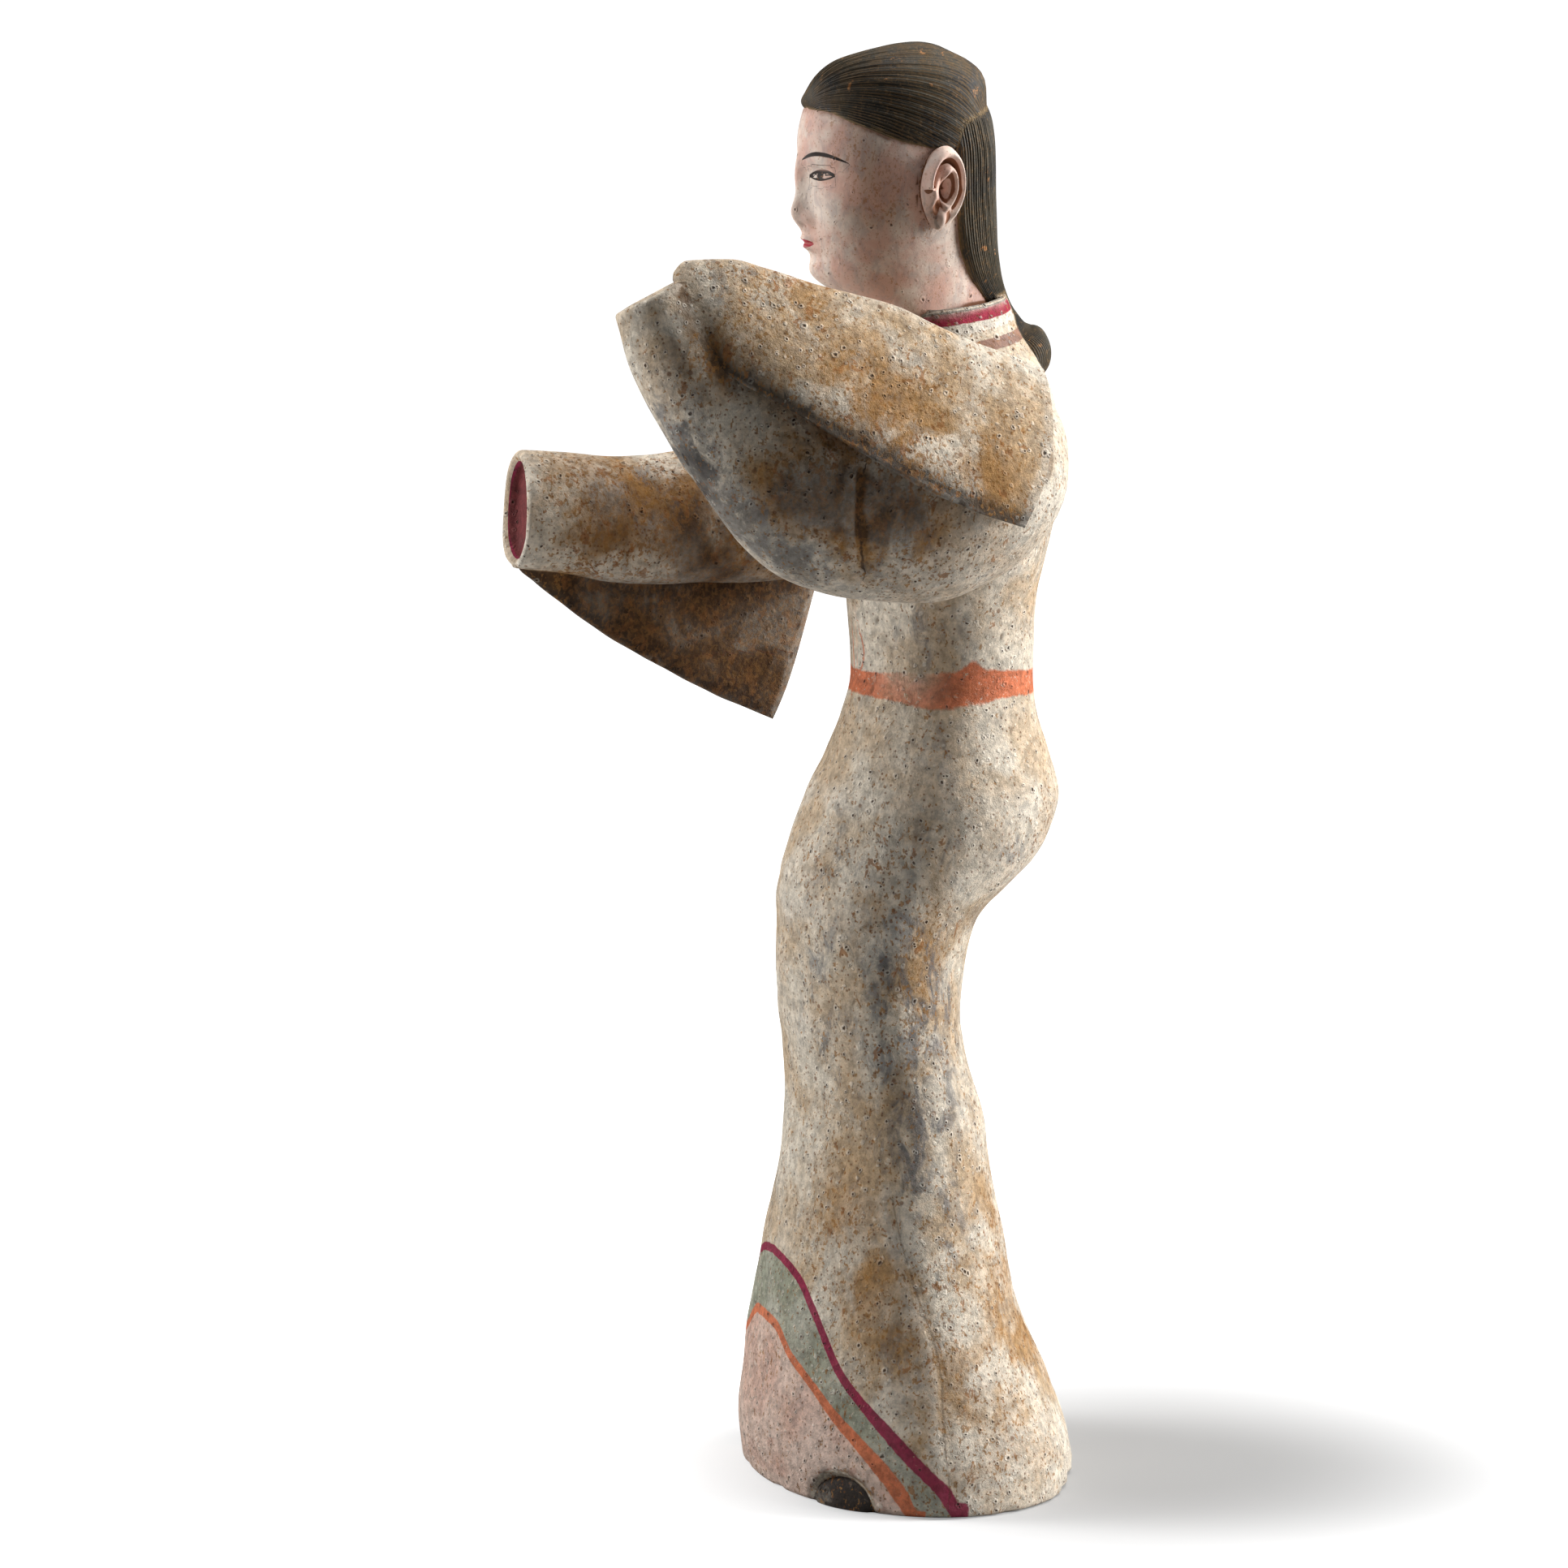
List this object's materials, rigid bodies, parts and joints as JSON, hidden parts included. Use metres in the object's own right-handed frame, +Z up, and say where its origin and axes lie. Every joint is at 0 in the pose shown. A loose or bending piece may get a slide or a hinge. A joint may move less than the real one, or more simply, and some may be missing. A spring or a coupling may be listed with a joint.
{
  "type": "terracotta dancer figure",
  "caption": "Standing long-sleeved dancer in fired clay, arms forward, one sleeve thrown back and one hanging, flared flat-bottomed hem.",
  "frame": {"origin": "middle of the flat underside of the hem, on the surface the figure stands on", "axes": "+Z up, the figure faces -Y, its left side is +X"},
  "size_m": [0.1903, 0.1819, 0.4998],
  "materials": {
    "painted_terracotta": "matt fired clay under worn cream slip, with earth stains and remains of pink, black, crimson, orange and grey-green paint"
  },
  "bodies": {
    "root": {"dancer_figure": "painted_terracotta"}
  },
  "joints": []
}
